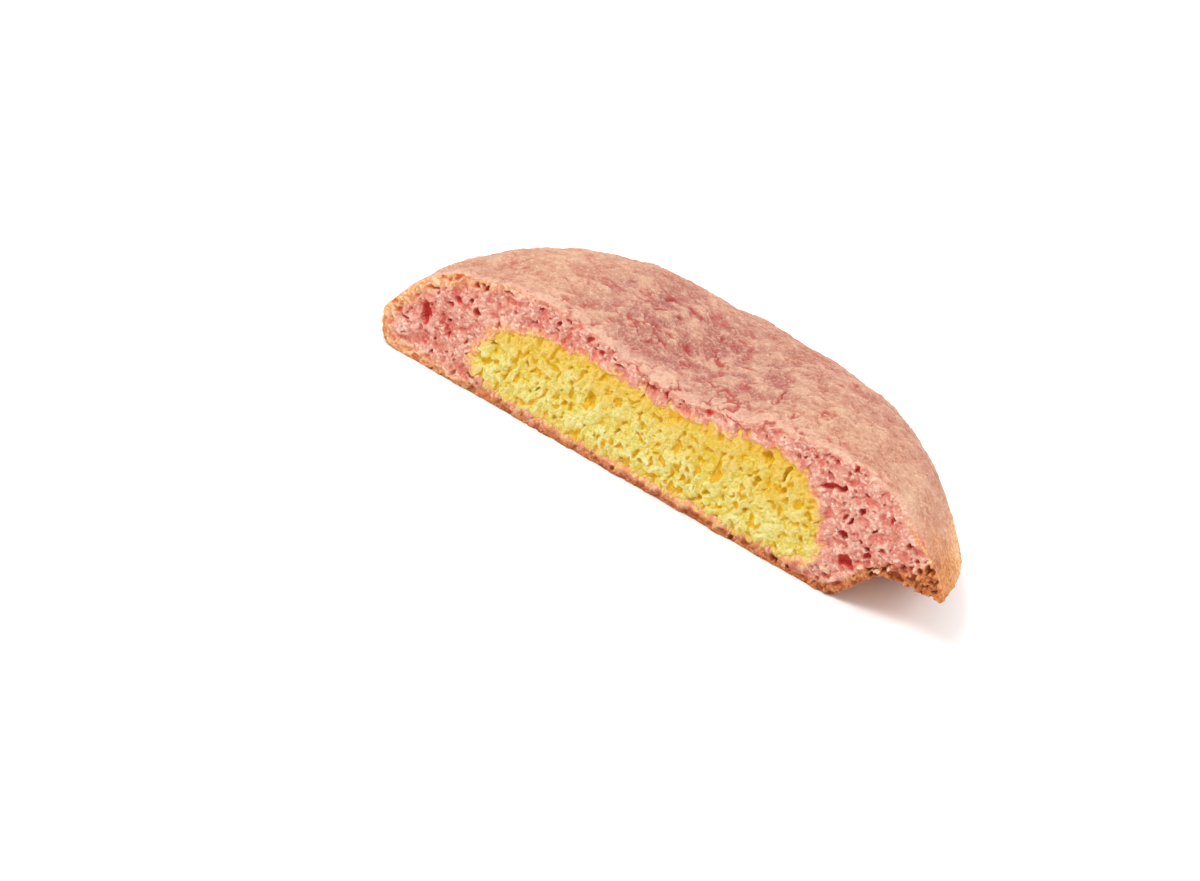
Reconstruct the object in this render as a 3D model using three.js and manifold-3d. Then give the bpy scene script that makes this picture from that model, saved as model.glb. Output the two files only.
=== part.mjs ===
// Half of a round soft cookie: pink dough baked round a yellow sweet potato filling.
// The half lies on its flat base with the cut facing -Y. Units are millimetres, +Z is up,
// and the origin is under the middle of the half's bounding box.

import * as THREE from "three";
import { mergeVertices } from "three/addons/utils/BufferGeometryUtils.js";
import { ImprovedNoise } from "three/addons/math/ImprovedNoise.js";
import Module from "manifold-3d";

// ---- Driving dimensions -------------------------------------------------------------

const cookieRadius = 38; // half the width of the cut
const depthRatio = 1.03; // the cookie is a little deeper than it is wide
const outlineSkew = 0.052; // the outline leans towards the left of the back
const outlineWaves = { count: 4, height: 0.004, start: -2.2 }; // height as a share
const crownHeight = { right: 17.1, left: 15.8, back: 13.5 }; // the ring-shaped crown
const middleHeight = 13.2; // the top sinks to this in the middle
const sinkShare = 0.48; // share of the radius that the sunken middle takes
const lipHeight = { right: 6.6, left: 4.4 }; // where the top and the underside meet
const crownSquareness = 6; // power of the crown's profile: more is flatter on top
const sideSlump = { right: 1.08, left: 0.9, back: 1.35 }; // more makes the side slope more
const footShare = { right: 0.645, left: 0.93 }; // share of the radius that rests flat
const undercut = { width: 0.16, depth: 0.9, fullTo: 2, goneBy: 36 }; // shares, bearings
const unevenness = [
  { size: 9, height: 0.9, layer: 16 },
  { size: 4.5, height: 0.35, layer: 5.5 },
]; // bumps of the baked top: how far apart, how high and which layer of the noise
const bumpFade = 8; // power with which the bumps die out towards the rim

const fillingRadius = { x: 23.6, y: 24.6 };
const fillingShift = -1.8; // the filling lies a little to the left
const fillingWaist = 4.0; // height at which the filling is widest
const fillingPower = { top: 5, bottom: 8 }; // roundness of its upper and lower edges
const fillingSide = { right: 0.6, left: 0.36 }; // more makes the filling's side slope more
const baseCrust = 1.4; // dough under the filling
const roof = { thin: 2.1, thick: 3.8, thinFrom: -6, thickFrom: -17 }; // dough above it
const clearance = 0.3; // between the filling and the dough round it

const facets = { dough: 27, filling: 17 }; // subdivisions of each octahedron

// ---- Small helpers ------------------------------------------------------------------

const { lerp, smoothstep, degToRad } = THREE.MathUtils;
const noise = new ImprovedNoise();

// A value that changes smoothly with the bearing: one for the right end of the cut
// (+X), one for the left end and, where given, one for the back.
function around(bearing, value) {
  const towardsRight = Math.cos(bearing);
  const right = smoothstep(towardsRight, 0, 1);
  const left = smoothstep(-towardsRight, 0, 1);
  const back = value.back ?? (value.right + value.left) / 2;
  return value.right * right + value.left * left + back * (1 - right - left);
}

// Bearing from the right end of the cut, 0 to pi, the same on both sides of the cut.
const bearingOf = (x, y) => Math.acos(THREE.MathUtils.clamp(x / Math.hypot(x, y), -1, 1));

// ---- The outside of the cookie ------------------------------------------------------

function outlineRadius(bearing) {
  const skew = outlineSkew * Math.sin(bearing) * Math.cos(bearing);
  const waves = outlineWaves.height * Math.sin(outlineWaves.count * bearing + outlineWaves.start);
  return cookieRadius * (1 - skew + waves);
}

// How much of the undercut there is: all of it at the cut's right end, none at the back.
function undercutShare(bearing) {
  const fading = [degToRad(undercut.fullTo), degToRad(undercut.goneBy)];
  return 1 - smoothstep(bearing, ...fading);
}

const lipOf = (bearing) => lerp(lipHeight.left, lipHeight.right, undercutShare(bearing));

// Shallow bumps of the baked top, which die out at the rim.
function bumps(x, y, share) {
  const added = (sum, { size, height, layer }) =>
    sum + height * noise.noise(x / size, y / size, layer);
  return unevenness.reduce(added, 0) * (1 - share ** bumpFade);
}

// Height of the top at a share of the radius, from 0 in the middle to 1 at the rim.
function topHeight(share, bearing) {
  const crown = around(bearing, crownHeight);
  const lip = lipOf(bearing);
  const dome = (1 - share ** crownSquareness) ** around(bearing, sideSlump);
  const sink = (1 + Math.cos(Math.PI * Math.min(share / sinkShare, 1))) / 2;
  return lip + (crown - lip) * dome - (crown - middleHeight) * sink;
}

// Height of the underside: flat, then rounded up to the lip, or hollowed where undercut.
function undersideHeight(share, bearing) {
  const beyondFoot = Math.max(share - footShare.left, 0) / (1 - footShare.left);
  const rounded = 1 - Math.sqrt(1 - beyondFoot ** 2);
  const wallTop = footShare.right + undercut.width;
  const hollow =
    undercut.depth * smoothstep(share, footShare.right, wallTop) +
    (1 - undercut.depth) * smoothstep(share, wallTop, 1);
  return lipOf(bearing) * lerp(rounded, hollow, undercutShare(bearing));
}

// Moves a point of the unit sphere to its place on the outside of the cookie. The share
// of the radius grows so that the corners spread evenly, with a few more near the rim.
function onCookie(point) {
  const fromPole = Math.acos(Math.min(Math.abs(point.z), 1));
  const share = (Math.sin(fromPole) + Math.SQRT2 * Math.sin(fromPole / 2)) / 2;
  const flat = Math.hypot(point.x, point.y);
  const bearing = flat > 0 ? bearingOf(point.x, point.y) : 0;
  const radius = flat > 0 ? (outlineRadius(bearing) * share) / flat : 0;
  const [x, y] = [point.x * radius, point.y * radius];
  const z =
    point.z > 0
      ? topHeight(share, bearing) + bumps(x, y, share)
      : undersideHeight(share, bearing);
  return point.set(x, y * depthRatio, z);
}

// ---- The filling --------------------------------------------------------------------

// Height of the cookie's top over a point of the plan.
function topOver(x, y) {
  const [planX, planY] = [x, y / depthRatio];
  const out = Math.hypot(planX, planY);
  const bearing = out > 0 ? bearingOf(planX, planY) : 0;
  const share = Math.min(out / outlineRadius(bearing), 1);
  return topHeight(share, bearing) + bumps(planX, planY, share);
}

// Dough left above the filling: thin over most of it, thicker towards the left end.
const roofOver = (x) => lerp(roof.thick, roof.thin, smoothstep(x, roof.thickFrom, roof.thinFrom));

// Moves a point of the unit sphere to the filling's surface, grown by some millimetres.
function onFilling(point, growth) {
  const share = Math.hypot(point.x, point.y);
  const bearing = share > 0 ? bearingOf(point.x, point.y) : 0;
  const x = fillingShift + point.x * (fillingRadius.x + growth);
  const y = point.y * (fillingRadius.y + growth);
  const ceiling = topOver(x, y) - roofOver(x) + growth;
  const floor = baseCrust - growth;
  const power = point.z > 0 ? fillingPower.top : fillingPower.bottom;
  const fullness = Math.max(1 - share ** power, 0);
  const upper = (ceiling - fillingWaist) * fullness ** around(bearing, fillingSide);
  const lower = (floor - fillingWaist) * Math.sqrt(fullness);
  return point.set(x, y, fillingWaist + (point.z > 0 ? upper : lower));
}

// ---- Solids -------------------------------------------------------------------------

const mergeWithin = 1e-5;
const wasm = await Module();
wasm.setup();

// The geometry as a solid, with its shared corners merged.
function solidOf(geometry) {
  const bare = geometry.clone();
  bare.deleteAttribute("normal");
  bare.deleteAttribute("uv");
  const merged = mergeVertices(bare, mergeWithin);
  return new wasm.Manifold(
    new wasm.Mesh({
      numProp: 3,
      vertProperties: new Float32Array(merged.attributes.position.array),
      triVerts: new Uint32Array(merged.index.array),
    }),
  );
}

// A ball of even triangles with each of its corners moved by shape(). It starts as an
// octahedron, so that one ring of its edges is the rim and another is the line of the cut.
function shapedBall(subdivisions, shape) {
  const ball = new THREE.OctahedronGeometry(1, subdivisions);
  const corners = ball.getAttribute("position");
  const point = new THREE.Vector3();
  for (let i = 0; i < corners.count; i += 1) {
    shape(point.fromBufferAttribute(corners, i).normalize());
    corners.setXYZ(i, point.x, point.y, point.z);
  }
  return solidOf(ball);
}

// The half of a solid behind the cut, which is the plane y = 0.
function backHalf(solid) {
  const size = 4 * cookieRadius;
  const front = new THREE.BoxGeometry(size, size, size).translate(0, -size / 2, 0);
  return solid.subtract(solidOf(front));
}

function meshOf(name, solid, material) {
  const { vertProperties, triVerts } = solid.getMesh();
  const geometry = new THREE.BufferGeometry();
  geometry.setAttribute("position", new THREE.BufferAttribute(vertProperties, 3));
  geometry.setIndex(new THREE.BufferAttribute(triVerts, 1));
  geometry.computeVertexNormals();
  const mesh = new THREE.Mesh(geometry, material);
  mesh.name = name;
  return mesh;
}

const wholeCookie = shapedBall(facets.dough, onCookie);
const cavity = shapedBall(facets.filling, (point) => onFilling(point, clearance));
const wholeFilling = shapedBall(facets.filling, (point) => onFilling(point, 0));

// ---- The half cookie ----------------------------------------------------------------

const pinkDough = new THREE.MeshStandardMaterial({
  color: 0xd9998a,
  roughness: 0.85,
  metalness: 0,
});
const yellowFilling = new THREE.MeshStandardMaterial({
  color: 0xe8c84e,
  roughness: 0.8,
  metalness: 0,
});

const cookieHalf = new THREE.Group();
cookieHalf.add(
  meshOf("pink_dough", backHalf(wholeCookie.subtract(cavity)), pinkDough),
  meshOf("sweet_potato_filling", backHalf(wholeFilling), yellowFilling),
);

// Stands the half on z = 0 with the middle of its box over the origin.
const box = new THREE.Box3().setFromObject(cookieHalf);
const middle = box.getCenter(new THREE.Vector3());
cookieHalf.position.set(-middle.x, -middle.y, -box.min.z);

export default cookieHalf;
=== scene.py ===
# %% [markdown]
# # Half of a sweet potato cookie
# The real thing is soft and baked: pink dough round a moist yellow filling, with a thin
# matte skin on top, a toasted rim and a browned base. It is cut across, so the pink and
# the yellow crumb both show. The model's two solids already have the right shape, so
# this lesson is about surfaces: how to turn a smooth solid into torn crumb and crinkled
# skin with real relief, and how to colour it from that relief.

# %% Load the fixed frame
import math
from dataclasses import dataclass

import bmesh
import bpy
from mathutils import Matrix, Vector, noise
from mathutils.bvhtree import BVHTree


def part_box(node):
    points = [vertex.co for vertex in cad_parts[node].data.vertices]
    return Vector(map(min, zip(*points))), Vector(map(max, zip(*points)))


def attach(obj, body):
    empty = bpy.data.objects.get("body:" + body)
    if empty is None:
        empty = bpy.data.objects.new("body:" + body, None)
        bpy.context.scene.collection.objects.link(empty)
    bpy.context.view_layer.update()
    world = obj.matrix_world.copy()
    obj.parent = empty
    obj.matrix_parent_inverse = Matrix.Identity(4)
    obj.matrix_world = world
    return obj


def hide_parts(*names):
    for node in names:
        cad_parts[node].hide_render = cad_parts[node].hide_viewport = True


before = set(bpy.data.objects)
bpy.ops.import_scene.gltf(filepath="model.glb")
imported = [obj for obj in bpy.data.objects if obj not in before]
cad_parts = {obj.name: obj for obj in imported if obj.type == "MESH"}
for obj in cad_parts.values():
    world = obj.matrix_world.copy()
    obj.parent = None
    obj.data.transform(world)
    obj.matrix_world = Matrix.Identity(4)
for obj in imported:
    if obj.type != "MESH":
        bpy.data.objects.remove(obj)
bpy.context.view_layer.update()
scene = bpy.context.scene

MM = 0.001
dough_low, dough_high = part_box("pink_dough")
cut_y = dough_low.y
print("solids:", sorted(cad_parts))
print("size in mm:", [round(side / MM, 1) for side in dough_high - dough_low])

# %% [markdown]
# ## The camera
# The picture looks at the cut from 17 degrees to its right and 30 degrees above. The
# half leaned over, so here, where it lies flat, the camera leans by the same angle. The
# camera is aimed by one point, the middle of the cut's lower edge: it is put where the
# picture has it, and the rest follows from the distance and from the scale there.

# %% Camera
PICTURE = (1200, 881)  # the picture's width and height in pixels
BEARING = math.radians(17)
ELEVATION = math.radians(30)
LEAN = math.radians(20.95)
DISTANCE = 0.45
PIXELS_PER_METRE = 8600  # at the middle of the cut's lower edge
AIM_PIXEL = (642.5, 490.8)  # where the middle of the cut's lower edge is seen
SENSOR = 36  # millimetres

back = Vector((
    math.sin(BEARING) * math.cos(ELEVATION),
    -math.cos(BEARING) * math.cos(ELEVATION),
    math.sin(ELEVATION),
))
level_right = Vector((math.cos(BEARING), math.sin(BEARING), 0))
level_up = back.cross(level_right)
right = level_right * math.cos(LEAN) + level_up * math.sin(LEAN)
up = level_up * math.cos(LEAN) - level_right * math.sin(LEAN)

aim = Vector((0, cut_y, 0))
seen_right = (AIM_PIXEL[0] - PICTURE[0] / 2) / PIXELS_PER_METRE
seen_up = (PICTURE[1] / 2 - AIM_PIXEL[1]) / PIXELS_PER_METRE
camera_data = bpy.data.cameras.new("camera")
camera_data.sensor_width = SENSOR
camera_data.lens = PIXELS_PER_METRE * DISTANCE * SENSOR / PICTURE[0]
camera = bpy.data.objects.new("camera", camera_data)
turn = Matrix((right, up, back)).transposed().to_4x4()
stand = aim + DISTANCE * back - seen_right * right - seen_up * up
camera.matrix_world = Matrix.Translation(stand) @ turn
scene.collection.objects.link(camera)
scene.camera = camera
print("lens in mm:", round(camera_data.lens, 1))

# %% [markdown]
# ## The studio
# Food like this is lit by a big soft box from above and by white walls all round, so
# shadows are pale and soft. Many small lights could imitate that, but one large area
# light and a bright plain world are the real set-up and give less noise. A weaker light
# from the right opens up the shaded side. The floor is white paper.

# %% Floor
scene.view_settings.view_transform = "Standard"

FLOOR_HALF = 1.5
WHITE_PAPER = (0.93, 0.93, 0.93, 1)
PAPER_ROUGHNESS = 0.9

floor_shape = bmesh.new()
bmesh.ops.create_grid(floor_shape, x_segments=1, y_segments=1, size=FLOOR_HALF)
floor_mesh = bpy.data.meshes.new("floor")
floor_shape.to_mesh(floor_mesh)
floor_shape.free()
floor = bpy.data.objects.new("floor", floor_mesh)
scene.collection.objects.link(floor)

paper = bpy.data.materials.new("white_paper")
paper.use_nodes = True
paper_shader = paper.node_tree.nodes["Principled BSDF"]
paper_shader.inputs["Base Color"].default_value = WHITE_PAPER
paper_shader.inputs["Roughness"].default_value = PAPER_ROUGHNESS
floor_mesh.materials.append(paper)
print("floor in metres:", [round(side, 1) for side in floor.dimensions])

# %% Lights and room
ROOM_STRENGTH = 0.86


def soft_box(name, direction, distance, size, watts):
    """A square area light that shines at the half from a direction."""
    light = bpy.data.lights.new(name, "AREA")
    light.shape = "SQUARE"
    light.size = size
    light.energy = watts
    lamp = bpy.data.objects.new(name, light)
    towards = direction.normalized()
    lamp.rotation_euler = towards.to_track_quat("Z", "Y").to_euler()
    lamp.location = towards * distance
    scene.collection.objects.link(lamp)
    print(name, "stands at", [round(side, 2) for side in lamp.location])


soft_box("key", up * 0.9 - right * 0.35 + back * 0.8, distance=0.9, size=0.4, watts=5.2)
soft_box("fill", right + up * 0.35 + back * 0.35, distance=0.9, size=0.6, watts=3.2)

world = bpy.data.worlds.new("white_room")
world.use_nodes = True
world_shader = world.node_tree.nodes["Background"]
world_shader.inputs["Color"].default_value = (1, 1, 1, 1)
world_shader.inputs["Strength"].default_value = ROOM_STRENGTH
scene.world = world

# %% [markdown]
# ## Which part of a solid is what
# The dough's solid has three kinds of surface: the torn cut, the wall of the cavity and
# the skin. A BVH tree of a surface finds the nearest place on it, so every corner of a
# finer mesh can later ask which kind it lies on, and how far the others are away. That
# is simpler than painting vertex groups, and it still works when the solid changes. The
# solids come as loose triangles, so a copy of each is merged first.

# %% Copies of the solids
WELD = 1e-6


def merged_copy(node):
    """The node's surface as a bmesh whose triangles share their corners."""
    shape = bmesh.new()
    shape.from_mesh(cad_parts[node].data)
    bmesh.ops.remove_doubles(shape, verts=shape.verts, dist=WELD)
    bmesh.ops.recalc_face_normals(shape, faces=shape.faces)
    shape.faces.ensure_lookup_table()
    return shape


dough_solid = merged_copy("pink_dough")
filling_solid = merged_copy("sweet_potato_filling")
dough_surface = BVHTree.FromBMesh(dough_solid)
filling_surface = BVHTree.FromBMesh(filling_solid)
print("triangles:", len(dough_solid.faces), "dough,", len(filling_solid.faces), "filling")

# %% Parts of the dough
CLEARANCE = 0.3  # mm between the two solids
STRAIGHT_AHEAD = -0.99  # a normal's y from here down faces out of the cut
PLANE_ERROR = 0.01  # mm
CUT, WALL, SKIN = range(3)


def kind_of(face):
    """Whether a face of the dough's solid is cut, cavity wall or skin."""
    middle = face.calc_center_median()
    if face.normal.y < STRAIGHT_AHEAD and middle.y < cut_y + PLANE_ERROR * MM:
        return CUT
    gap = filling_surface.find_nearest(middle)[3]
    return WALL if gap < 2 * CLEARANCE * MM else SKIN


kinds = [kind_of(face) for face in dough_solid.faces]


def surface_of_kind(kind):
    """A tree of only those faces of the dough's solid that are of one kind."""
    shape = dough_solid.copy()
    shape.faces.ensure_lookup_table()
    others = [face for face, its_kind in zip(shape.faces, kinds) if its_kind != kind]
    bmesh.ops.delete(shape, geom=others, context="FACES")
    tree = BVHTree.FromBMesh(shape)
    shape.free()
    return tree


skin_surface = surface_of_kind(SKIN)
wall_surface = surface_of_kind(WALL)
print("faces: cut", kinds.count(CUT), "wall", kinds.count(WALL), "skin", kinds.count(SKIN))

# %% [markdown]
# ## Even, fine meshes
# Relief needs corners, and the solids' triangles are 2 mm wide. A Subdivision Surface
# would round the cut's sharp edge and keep the long thin triangles. A voxel remesh
# turns a solid into even quads instead, and only what shows is divided further, so that
# triangles are spent on the cut and the skin and not on the hidden cavity. It rounds
# edges too, so after each step the corners are put back on the solid.

# %% Remesh


def apply_modifiers(piece):
    """Gives the piece the mesh that its modifiers make of it."""
    evaluated = piece.evaluated_get(bpy.context.evaluated_depsgraph_get())
    mesh = bpy.data.meshes.new_from_object(evaluated)
    piece.modifiers.clear()
    piece.data = mesh
    mesh.name = piece.name


def even_piece(node, name, voxel):
    """A new piece with the node's shape in even quads of the voxel's size in mm."""
    shape = merged_copy(node)
    mesh = bpy.data.meshes.new(name)
    shape.to_mesh(mesh)
    shape.free()
    mesh.materials.clear()
    piece = bpy.data.objects.new(name, mesh)
    scene.collection.objects.link(piece)
    remesh = piece.modifiers.new("even", "REMESH")
    remesh.mode = "VOXEL"
    remesh.voxel_size = voxel * MM
    apply_modifiers(piece)
    print(name, "starts with", len(piece.data.polygons), "quads")
    return piece


# %% Divide and put back


def put_back(shape, surface):
    """Moves every corner to the nearest place on the surface."""
    for vertex in shape.verts:
        vertex.co = surface.find_nearest(vertex.co)[0]


def divide(shape, chosen, surface):
    """Splits each chosen face into four and puts the new corners on the surface."""
    edges = {edge for face in chosen for edge in face.edges}
    bmesh.ops.subdivide_edges(shape, edges=list(edges), cuts=1, use_grid_fill=True)
    put_back(shape, surface)


def refine(piece, surface, choices):
    """Puts the piece on its surface and divides it once for each choice of faces."""
    shape = bmesh.new()
    shape.from_mesh(piece.data)
    put_back(shape, surface)
    for chosen in choices:
        divide(shape, [face for face in shape.faces if chosen(face)], surface)
    shape.to_mesh(piece.data)
    shape.free()
    print(piece.name, "now has", len(piece.data.vertices), "corners")


def near_cut(depth):
    """A choice of the faces that lie within a depth in mm behind the cut."""
    return lambda face: face.calc_center_median().y < cut_y + depth * MM


# %% [markdown]
# ## Patterns for relief
# Crumb is a foam that was torn open: a dense, grainy body with round pores of many
# sizes. Displacement by an image can't do that here, but a few kinds of noise can, and
# they are read in millimetres, so that every size is a real one. Perlin noise gives
# soft swellings. Reading any pattern at a place that another noise has shifted makes
# its round shapes ragged. The vector noise takes its layers from a random seed, so the
# seed is set, and each run gives the same cookie.

# %% Steps, swellings and raggedness
SEED = 7
ELSEWHERE = Vector((7, 7, 7))  # reads a second, unlike layer of the same noise

noise.seed_set(SEED)


def step(low, high, value):
    """0 below low, 1 above high and smooth between them, also where high is below low."""
    share = min(max((value - low) / (high - low), 0), 1)
    return share * share * (3 - 2 * share)


def swell(at, size, height=1.0, layer=0):
    """Soft swellings of a size, up and down by at most about the height."""
    return height * noise.noise(at / size + layer * ELSEWHERE)


def ragged(at, size, by):
    """The place, shifted by a noise of the given size."""
    return at + noise.noise_vector(at / size) * by


def print_range(name, heights):
    """Prints the lowest and the highest of some heights."""
    print(name, "in mm:", round(min(heights), 2), "to", round(max(heights), 2))


along_cut = [Vector((x, cut_y / MM, 8)) for x in range(-30, 31)]
print_range("swellings", [swell(at, size=1.3) for at in along_cut])

# %% [markdown]
# Voronoi noise gives both pores and grains. Its points are the middles of pores, and
# where the torn face passes through such a ball, the face drops to the ball's far side.
# The same noise with a small size gives grains that lie side by side.

# %% Pores and grains
GRAIN_EDGE = 0.75  # share of the size at which a grain's side has come down


def pores(at, spacing, share, smallest, largest):
    """How deep the face drops here into round pores; only a share of them is there."""
    distances, middles = noise.voronoi(at / spacing)
    deepest = 0
    for distance, middle in zip(distances[:2], middles[:2]):
        number = (noise.cell(middle) + 1) / 2
        if number > share:
            continue
        radius = smallest + (largest - smallest) * number / share
        away = distance * spacing
        if away < radius:
            behind = middle.y * spacing - at.y
            half_chord = math.sqrt(radius * radius - away * away + behind * behind)
            deepest = max(deepest, behind + half_chord)
    return deepest


def grains(at, size, height, power=0.5):
    """Grains side by side: domes with the power 0.5, flatter and softer with 1."""
    away = noise.voronoi(at / size)[0][0]
    return height * max(1 - (away / GRAIN_EDGE) ** 2, 0) ** power


depths = [pores(at, spacing=2, share=0.4, smallest=0.3, largest=0.65) for at in along_cut]
print("a line along the cut meets", sum(depth > 0 for depth in depths), "places in pores")

# %% [markdown]
# ## Hollows that show
# Noise alone makes a likely crumb, but the largest holes are what the eye remembers. So
# they are listed, each as an oval on the cut, and their outline is made ragged like
# everything else. Pale flakes that stand out over the browned edge are listed in the same
# way.

# %% Hollows and flakes in the dough


@dataclass
class Hollow:
    """An oval on the cut, in mm, turned to the right by some degrees."""

    x: float
    z: float
    width: float
    height: float
    turn: float
    depth: float


PINK_HOLLOWS = [Hollow(*row) for row in (
    (-32.7, 6.5, 1.3, 3.2, -18, 1.3),  # tall slot near the left end
    (-26.6, 10.0, 1.2, 1.2, 0, 1.0),
    (-30.2, 13.2, 1.0, 1.5, 35, 0.7),
    (-32.8, 10.2, 2.2, 0.6, -20, 0.5),
    (-27.6, 13.1, 0.8, 0.9, 0, 0.7),
    (-26.3, 13.4, 0.6, 1.2, 20, 0.8),
    (-23.6, 14.3, 1.6, 0.6, 5, 0.5),
    (-29.1, 5.5, 0.7, 1.0, 0, 0.6),
    (-34.8, 4.6, 0.8, 0.7, 0, 0.7),
    (-30.4, 9.4, 0.8, 0.5, 0, 0.6),
    (20.6, 13.0, 3.4, 0.8, -18, 0.8),  # long crack over the right end of the filling
    (21.8, 13.6, 0.9, 0.9, 0, 1.4),
    (22.6, 16.5, 1.5, 0.5, 40, 0.7),
    (19.9, 16.1, 0.7, 0.5, 0, 0.6),
    (24.3, 10.3, 0.7, 1.0, 0, 0.9),
    (24.0, 8.1, 1.0, 0.9, 0, 1.0),
    (27.4, 10.5, 0.6, 0.9, 0, 0.7),
    (27.3, 8.0, 1.3, 0.6, 20, 1.0),
    (31.4, 11.2, 0.7, 0.9, 0, 0.8),
    (32.0, 8.3, 0.9, 0.6, 0, 0.7),
    (25.4, 5.2, 1.9, 1.5, 30, 1.3),  # wide hollow over the foot of the undercut
    (23.6, 2.1, 0.7, 0.5, 0, 0.8),
    (31.7, 8.2, 1.1, 0.6, 10, 0.9),  # holes in the lip
    (34.6, 9.6, 0.6, 1.2, 20, 0.8),
    (28.2, 5.9, 1.3, 0.4, -10, 0.6),
    (-19.4, 14.4, 0.8, 0.6, 0, 0.6),  # row of pits under the skin over the filling
    (-16.6, 14.2, 0.7, 0.9, 0, 0.7),
    (-12.4, 14.2, 0.8, 0.6, 0, 0.5),
    (-10.6, 13.5, 0.9, 0.7, 0, 0.6),
    (-8.0, 13.1, 1.0, 0.5, 0, 0.6),
    (-3.3, 12.7, 1.0, 0.6, 10, 0.6),
    (-1.6, 12.8, 1.0, 0.6, 0, 0.7),
    (0.8, 13.0, 0.9, 0.5, 0, 0.6),
    (3.9, 13.5, 1.2, 0.6, 10, 0.7),
    (9.0, 13.7, 1.0, 0.5, 0, 0.5),
)]
PALE_FLAKES = [Hollow(*row) for row in (
    (23.6, 3.0, 1.3, 1.0, 0, 0.35),
    (24.9, 2.4, 0.9, 0.6, 20, 0.3),
    (27.1, 5.4, 1.1, 0.6, -20, 0.3),
    (28.9, 5.9, 1.8, 0.5, -15, 0.4),
    (30.4, 7.0, 0.7, 0.6, 0, 0.3),
)]
print("in the dough:", len(PINK_HOLLOWS), "hollows and", len(PALE_FLAKES), "flakes")

# %% [markdown]
# The filling has fewer large holes, and most are soft gaps at its upper edge. They go
# into a list of the same kind, and one function reads both lists.

# %% Hollows in the filling
YELLOW_HOLLOWS = [Hollow(*row) for row in (
    (-9.7, 7.3, 1.8, 1.5, 20, 0.7),  # corner-shaped hollow in the middle
    (12.6, 12.2, 1.8, 1.1, -15, 0.7),
    (15.0, 11.3, 0.5, 2.0, 10, 0.7),
    (12.4, 8.6, 0.7, 0.9, 0, 0.5),
    (15.5, 9.4, 0.6, 0.9, 0, 0.5),
    (6.8, 2.8, 0.9, 0.7, 0, 0.5),
    (12.4, 4.4, 0.8, 0.8, 0, 0.5),
    (-21.9, 10.6, 2.6, 0.8, -30, 0.7),  # gap under the dough at the upper left
    (-23.3, 7.3, 0.8, 0.7, 0, 0.6),
    (-23.5, 2.4, 1.0, 0.6, 0, 0.6),
)]
HOLLOW_EDGE = (1.15, 0.5)  # shares of an oval where it begins to drop and is all down


def listed_hollow(at, hollows):
    """How deep the deepest of the listed hollows is here."""
    at = ragged(ragged(at, size=1.0, by=0.5), size=0.4, by=0.2)
    deepest = 0
    for hollow in hollows:
        aside = at.x - hollow.x
        above = at.z - hollow.z
        turn = math.radians(hollow.turn)
        across = aside * math.cos(turn) - above * math.sin(turn)
        along = aside * math.sin(turn) + above * math.cos(turn)
        out = 2 * math.hypot(across / hollow.width, along / hollow.height)
        deepest = max(deepest, hollow.depth * step(*HOLLOW_EDGE, out))
    return deepest


print("in the filling:", len(YELLOW_HOLLOWS), "hollows")

# %% [markdown]
# ## Two kinds of crumb
# Each kind of surface is a function that reads a place and gives a height. It also gives
# what the colour will need: how deep the pores are there, and how high the grains stand.
# The pink dough rose in the oven and was torn: it is lumpy and full of pores of three
# sizes, with a few long tears.

# %% Pink crumb
TORN_DEEPEST = 1.1  # mm
TEAR_DEPTH = 0.25  # mm


@dataclass
class Relief:
    """What a place on a surface is like, in mm."""

    height: float = 0.0  # over the smooth surface
    hollow: float = 0.0  # depth of pores, gaps or creases
    grain: float = 0.0  # height of grains and lumps


def pink_crumb(at):
    """The torn dough: lumps, grains, tears and many pores."""
    shifted = ragged(at, size=0.9, by=0.45)
    twice = ragged(shifted, size=0.35, by=0.14)
    foamy = 0.8 + swell(at, size=5, height=0.6)
    hollow = max(
        pores(shifted, spacing=2.0, share=0.5 * foamy, smallest=0.3, largest=0.65),
        pores(twice, spacing=1.0, share=0.8 * foamy, smallest=0.15, largest=0.42),
        pores(twice + ELSEWHERE, spacing=0.6, share=0.55, smallest=0.08, largest=0.2),
        listed_hollow(at, PINK_HOLLOWS),
        TEAR_DEPTH * step(0.1, 0.4, swell(shifted, size=1.3, layer=1)),
    )
    hollow = min(hollow, TORN_DEEPEST)
    body = swell(at, size=2.8, height=0.3) + swell(shifted, size=0.95, height=0.2)
    grain = grains(twice, size=0.48, height=0.12) + grains(twice, size=0.27, height=0.07)
    height = body + grain - 0.1 - hollow + listed_hollow(at, PALE_FLAKES)
    return Relief(height, hollow, grain + 0.5 * body)


print_range("pink crumb", [pink_crumb(at).height for at in along_cut])

# %% [markdown]
# The filling is moist and dense. It tore into soft lumps with gaps between them, wider
# in its upper part. Its grains are flatter, because moisture rounds them off.

# %% Yellow crumb
GAP_DEPTH = 0.3  # mm


def yellow_crumb(at):
    """The torn filling: moist lumps with soft gaps between them, and few pores."""
    tall = Vector((at.x, at.y, at.z * 0.8))
    shifted = ragged(tall, size=0.9, by=0.45)
    twice = ragged(shifted, size=0.4, by=0.12)
    coarse = step(-0.3, 0.35, swell(at, size=3.5) + (at.z - 6) / 20)
    gaps = swell(shifted, size=1.15) * coarse
    gaps += swell(shifted, size=0.75, layer=1) * (1 - coarse)
    gaps += swell(twice, size=0.4, height=0.22)
    hollow = max(
        pores(twice, spacing=1.6, share=0.4, smallest=0.15, largest=0.4),
        listed_hollow(at, YELLOW_HOLLOWS),
        GAP_DEPTH * step(-0.08, -0.46, gaps),
    )
    body = swell(at, size=2.4, height=0.28) + swell(shifted, size=0.85, height=0.22)
    grain = grains(twice, size=0.55, height=0.11, power=1)
    grain += grains(twice, size=0.34, height=0.065, power=1)
    return Relief(body + grain - hollow, hollow, 1.2 * grain + 0.7 * body)


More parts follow.
